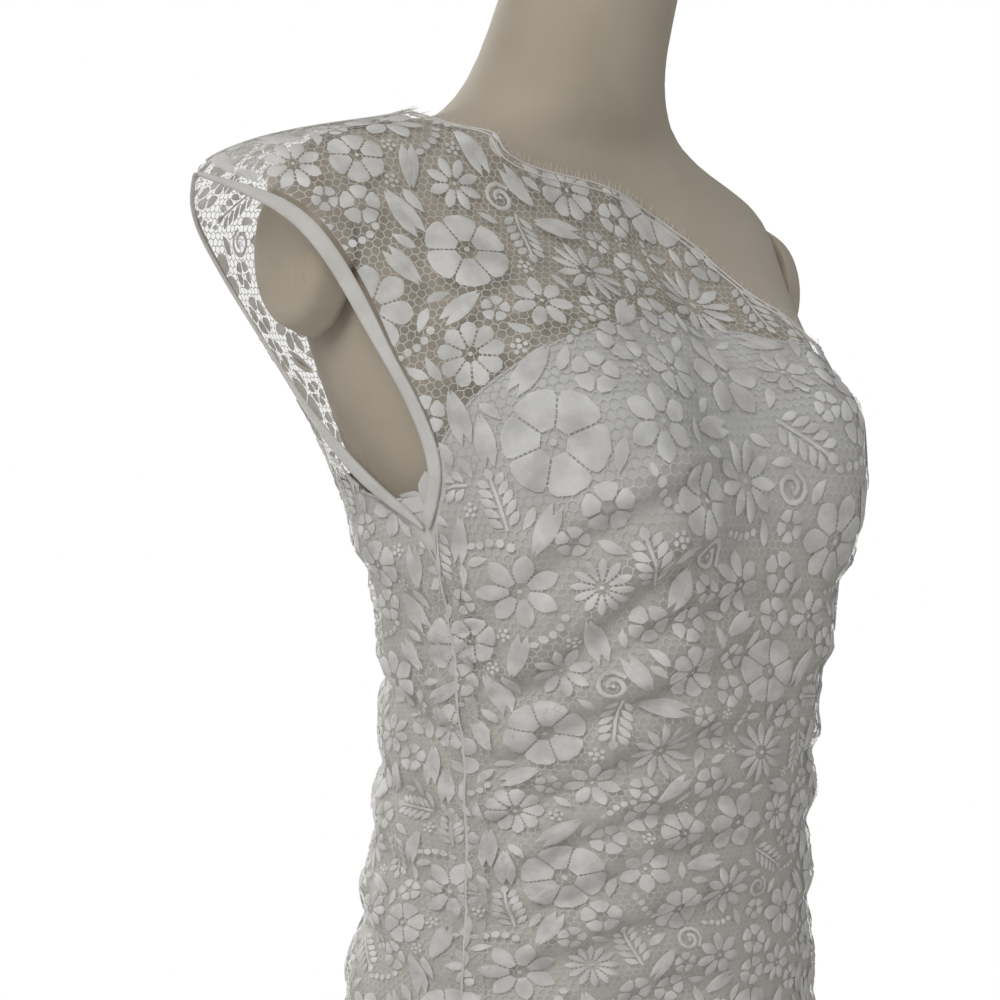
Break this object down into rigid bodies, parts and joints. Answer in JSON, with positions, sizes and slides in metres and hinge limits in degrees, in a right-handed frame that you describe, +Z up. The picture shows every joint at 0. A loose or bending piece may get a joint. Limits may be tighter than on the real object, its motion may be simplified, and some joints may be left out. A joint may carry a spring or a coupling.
{
  "type": "lace gown on dress form",
  "caption": "Floor-length one-shouldered lace gown with a gathered waist, worn by a limbless dress form on a round stand.",
  "frame": {"origin": "centre of the round base's underside, on the floor, under the pole", "axes": "+Z up along the pole, the gown's front towards -Y, the wearer's right towards -X"},
  "size_m": [0.4762, 0.4502, 1.545],
  "materials": {
    "lace": "matt ivory lace of flowers on a hexagonal net",
    "lining": "soft satin-faced crepe, off-white",
    "lace_edge": "corded and folded lace edging, matt",
    "form_cover": "plain woven cover, matt, stretched smooth",
    "pole_metal": "satin",
    "base_enamel": "smooth satin enamel"
  },
  "bodies": {
    "root": {"lace_front": "lace", "lace_back": "lace", "lining_front": "lining", "lining_back": "lining", "armhole_binding_front": "lace_edge", "armhole_binding_back": "lace_edge", "neck_edge_front": "lace_edge", "neck_edge_back": "lace_edge", "form_torso": "form_cover", "arm_cap_right": "form_cover", "arm_cap_left": "form_cover", "stand_pole": "pole_metal", "stand_base": "base_enamel"}
  },
  "joints": []
}
